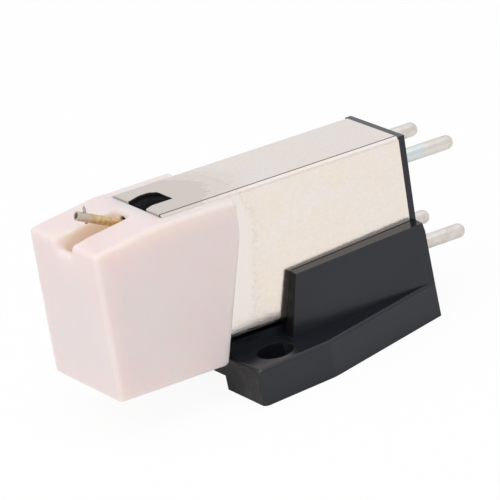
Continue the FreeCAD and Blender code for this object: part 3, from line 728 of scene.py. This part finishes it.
def soften(piece, name, rounds, weight_of=None):
    """Smooth a piece's edges, everywhere or by a weight for each point."""
    smooth = piece.modifiers.new(name, "SMOOTH")
    smooth.factor = 0.5
    smooth.iterations = rounds
    if weight_of:
        group = piece.vertex_groups.new(name=name)
        for vertex in piece.data.vertices:
            weight = weight_of(vertex.co)
            if weight > 0:
                group.add([vertex.index], weight, "REPLACE")
        smooth.vertex_group = name
    bake(piece)


def ease_passage(piece, radius):
    """Open the cap's passage to a radius, which clears the cantilever when it swings both ways at once."""
    for vertex in piece.data.vertices:
        centre = pivot + forward * max((vertex.co - pivot).dot(forward), 0)
        if 0 < (vertex.co - centre).length < radius:
            vertex.co = centre + (vertex.co - centre).normalized() * radius


cap = merged_copy("stylus_cap", "cap_moulding")
even_mesh(cap, CAP_SPACING)
soften(cap, "mouth", MOUTH_ROUNDS, in_mouth)
soften(cap, "edges", EDGE_ROUNDS)
ease_passage(cap, PASSAGE)
cap.data.shade_smooth()
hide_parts("stylus_cap")
dress(cap, milky_pink(), "stylus")

# Stylus sleeve and its back plug: thin drawn brass tube and disc, glued in the cap. They hold the suspension
# and plug into the housing's bay.


def drawn_brass():
    material, tree, shader = finish_named("drawn_brass")
    set_values(shader, Metallic=1.0)
    tarnish = patch_mask(tree, Scale=1200.0, Start=0.4, End=0.7, Seed=7.0)
    blend_colours(tree, tarnish, (0.72, 0.55, 0.29), (0.58, 0.43, 0.22), shader.inputs["Base Color"])
    blend_values(tree, tarnish, 0.26, 0.4, shader.inputs["Roughness"])
    raise_grain(tree, shader, 0.004 * MM, Scale=8000.0, Stretch=8.0)
    return material


brass = drawn_brass()
repaint("stylus_sleeve", brass)
repaint("sleeve_plug", brass)

# Damper: soft black rubber ring round the cantilever, held in the sleeve. It lets the cantilever swing and
# brings it back.


def soft_rubber():
    material, tree, shader = finish_named("soft_rubber")
    bloom = patch_mask(tree, Scale=1500.0, Start=0.4, End=0.7, Seed=12.0)
    blend_colours(tree, bloom, (0.012, 0.012, 0.012), (0.022, 0.021, 0.020), shader.inputs["Base Color"])
    blend_values(tree, bloom, 0.7, 0.82, shader.inputs["Roughness"])
    raise_grain(tree, shader, 0.006 * MM, Scale=14000.0)
    return material


repaint("damper_ring", soft_rubber())

# Magnet and tie wire: a ground magnet rod on the back of the cantilever, drawn into the damper by fine
# spring wire.


def ground_magnet():
    material, tree, shader = finish_named("ground_magnet")
    set_values(shader, Metallic=1.0)
    chip = patch_mask(tree, Scale=2500.0, Start=0.45, End=0.65, Seed=13.0)
    blend_colours(tree, chip, (0.36, 0.36, 0.37), (0.27, 0.27, 0.28), shader.inputs["Base Color"])
    blend_values(tree, chip, 0.38, 0.55, shader.inputs["Roughness"])
    raise_grain(tree, shader, 0.006 * MM, Scale=12000.0)
    return material


repaint("magnet_rod", ground_magnet())
repaint("tie_wire", alloy)

# Cantilever: drawn aluminium tube, tinted gold towards the cap and bare at its open front end. The damper
# holds it, and it comes out through the cap's passage into the slot.

TUBE_ROLL = 0.015 * MM
GOLD_END = 1.9 * MM
BARE_END = 0.8 * MM


def tinted_aluminium():
    material, tree, shader = finish_named("tinted_aluminium")
    set_values(shader, Metallic=1.0)
    colour = shader.inputs["Base Color"]
    rub = patch_mask(tree, Scale=2600.0, Detail=4.0, Start=0.38, End=0.62, Seed=14.0)
    gold = blend_colours(tree, rub, (0.58, 0.41, 0.18), (0.76, 0.59, 0.33), colour)
    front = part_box("cantilever_tube")[0].x
    place = tree.nodes.new("ShaderNodeTexCoord")
    split = tree.nodes.new("ShaderNodeSeparateXYZ")
    bare = tree.nodes.new("ShaderNodeMapRange")
    set_values(bare, From_Min=front + GOLD_END, From_Max=front + BARE_END)
    tree.links.new(place.outputs["Object"], split.inputs["Vector"])
    tree.links.new(split.outputs["X"], bare.inputs["Value"])
    tint(tree, bare.outputs["Result"], (0.62, 0.54, 0.45), gold, colour)
    blend_values(tree, rub, 0.36, 0.5, shader.inputs["Roughness"])
    raise_grain(tree, shader, 0.008 * MM, Scale=9000.0, Stretch=3.0)
    return material


tube = rolled_edges("cantilever_tube", "cantilever", TUBE_ROLL)
dress(tube, tinted_aluminium(), "cantilever")

# Stylus tip: a metal shank set through the tube and glued there, ground to a point that carries the
# diamond.

TIP_ROLL = 0.01 * MM


def ground_shank():
    material, tree, shader = finish_named("ground_shank")
    set_values(shader, Metallic=0.7)
    facet = patch_mask(tree, Scale=4000.0, Start=0.45, End=0.6, Seed=15.0)
    blend_colours(tree, facet, (0.50, 0.47, 0.43), (0.28, 0.26, 0.24), shader.inputs["Base Color"])
    blend_values(tree, facet, 0.25, 0.4, shader.inputs["Roughness"])
    raise_grain(tree, shader, 0.008 * MM, Scale=9000.0)
    return material


tip = rolled_edges("stylus_tip", "stylus_shank", TIP_ROLL)
dress(tip, ground_shank(), "cantilever")

# Floor and backdrop: one pale sheet under a white sky. The floor is nearly white to the camera, a little
# lighter in reflections, and keeps the cartridge's shadow.

FLOOR_REACH = 1.5
CAMERA_LIFT = 0.93
MIRROR_LIFT = 0.15
SKY_LIGHT = 0.62
CEILING_GLOW = 0.2


def lay_over(tree, seen, under, over, target):
    """Feed target with the shader over where seen is 1, and with the one under it elsewhere."""
    choice = tree.nodes.new("ShaderNodeMixShader")
    tree.links.new(seen, choice.inputs["Fac"])
    tree.links.new(under, choice.inputs[1])
    tree.links.new(over, choice.inputs[2])
    tree.links.new(choice.outputs["Shader"], target)
    return choice.outputs["Shader"]


def pale_floor():
    """Mostly white to the camera. Reflections see more of the shadow than the camera does."""
    material, tree, shader = finish_named("pale_floor")
    set_values(shader, Base_Color=(0.95, 0.95, 0.95, 1.0), Roughness=0.9, Specular_IOR_Level=0.1)
    surface = tree.nodes["Material Output"].inputs["Surface"]
    white = tree.nodes.new("ShaderNodeEmission").outputs["Emission"]
    rays = tree.nodes.new("ShaderNodeLightPath")
    mirrored = reckon(tree, "MAXIMUM", rays.outputs["Is Glossy Ray"], rays.outputs["Is Transmission Ray"])
    in_mirror = reckon(tree, "MULTIPLY", mirrored, MIRROR_LIFT)
    on_camera = reckon(tree, "MULTIPLY", rays.outputs["Is Camera Ray"], CAMERA_LIFT)
    floor_seen = lay_over(tree, in_mirror, shader.outputs["BSDF"], white, surface)
    lay_over(tree, on_camera, floor_seen, white, surface)
    return material


floor_mesh = bpy.data.meshes.new("floor")
corners = [(x * FLOOR_REACH, y * FLOOR_REACH, 0) for x, y in ((-1, -1), (1, -1), (1, 1), (-1, 1))]
floor_mesh.from_pydata(corners, [], [(0, 1, 2, 3)])
floor = bpy.data.objects.new("floor", floor_mesh)
bpy.context.scene.collection.objects.link(floor)
floor_mesh.materials.append(pale_floor())

world = bpy.data.worlds.new("studio")
bpy.context.scene.world = world
world.use_nodes = True
sky = world.node_tree
plain_sky = sky.nodes["Background"]
set_values(plain_sky, Color=(1.0, 1.0, 1.0, 1.0), Strength=SKY_LIGHT)
ceiling = sky.nodes.new("ShaderNodeBackground")
set_values(ceiling, Color=(0.84, 0.85, 0.885, 1.0))
white_sky = sky.nodes.new("ShaderNodeBackground")
set_values(white_sky, Color=(1.0, 1.0, 1.0, 1.0), Strength=1.0)
toward = sky.nodes.new("ShaderNodeTexCoord")
heading = sky.nodes.new("ShaderNodeSeparateXYZ")
sky.links.new(toward.outputs["Generated"], heading.inputs["Vector"])
overhead_glow = fade(sky, heading.outputs["Z"], 0.55, 0.8)
sky.links.new(reckon(sky, "MULTIPLY_ADD", overhead_glow, CEILING_GLOW, 1.0), ceiling.inputs["Strength"])
rays = sky.nodes.new("ShaderNodeLightPath")
surround = sky.nodes["World Output"].inputs["Surface"]
looked_at = reckon(sky, "MAXIMUM", rays.outputs["Is Camera Ray"], rays.outputs["Is Transmission Ray"])
mirrored_sky = lay_over(sky, rays.outputs["Is Glossy Ray"], plain_sky.outputs["Background"],
                        ceiling.outputs["Background"], surround)
lay_over(sky, looked_at, mirrored_sky, white_sky.outputs["Background"], surround)

# Studio lamps: a wide soft box overhead and a smaller fill by the camera's left, both large beside the part,
# so that its highlights stay soft.


def soft_box(name, place, target, size, power):
    lamp = bpy.data.lights.new(name, "AREA")
    lamp.size = size
    lamp.energy = power
    holder = bpy.data.objects.new(name, lamp)
    bpy.context.scene.collection.objects.link(holder)
    holder.location = place
    holder.rotation_euler = (Vector(place) - Vector(target)).to_track_quat("Z", "Y").to_euler()


soft_box("overhead", (-0.12, -0.08, 0.5), (0, 0, 0.01), 0.5, 1.2)
soft_box("front_fill", (-0.58, -0.12, 0.2), (0, 0, 0.01), 0.4, 0.28)

# Camera: a long lens a little above the part, rolled as the photograph was framed. Places in view are in
# shares of the picture's width.

AZIMUTH = math.radians(-27.36)
ELEVATION = math.radians(21.0)
ROLL = math.radians(-11.89)
DISTANCE = 372.84 * MM
PICTURE_PIXELS = 500
FOCAL_WIDTHS = 4605.41 / PICTURE_PIXELS
ORIGIN_IN_VIEW = (242.02 / PICTURE_PIXELS - 0.5, 0.5 - 367.3 / PICTURE_PIXELS)

back = Vector((math.sin(AZIMUTH) * math.cos(ELEVATION), -math.cos(AZIMUTH) * math.cos(ELEVATION),
               math.sin(ELEVATION)))
level = Vector((math.cos(AZIMUTH), math.sin(AZIMUTH), 0))
upright = back.cross(level)
right = level * math.cos(ROLL) + upright * math.sin(ROLL)
up = upright * math.cos(ROLL) - level * math.sin(ROLL)
lens = bpy.data.cameras.new("camera")
lens.sensor_width = 36.0
lens.lens = FOCAL_WIDTHS * lens.sensor_width
camera = bpy.data.objects.new("camera", lens)
bpy.context.scene.collection.objects.link(camera)
shift = DISTANCE / FOCAL_WIDTHS
place = back * DISTANCE - right * ORIGIN_IN_VIEW[0] * shift - up * ORIGIN_IN_VIEW[1] * shift
camera.matrix_world = Matrix.Translation(place) @ Matrix((right, up, back)).transposed().to_4x4()
bpy.context.scene.camera = camera
bpy.context.scene.view_settings.view_transform = "Standard"
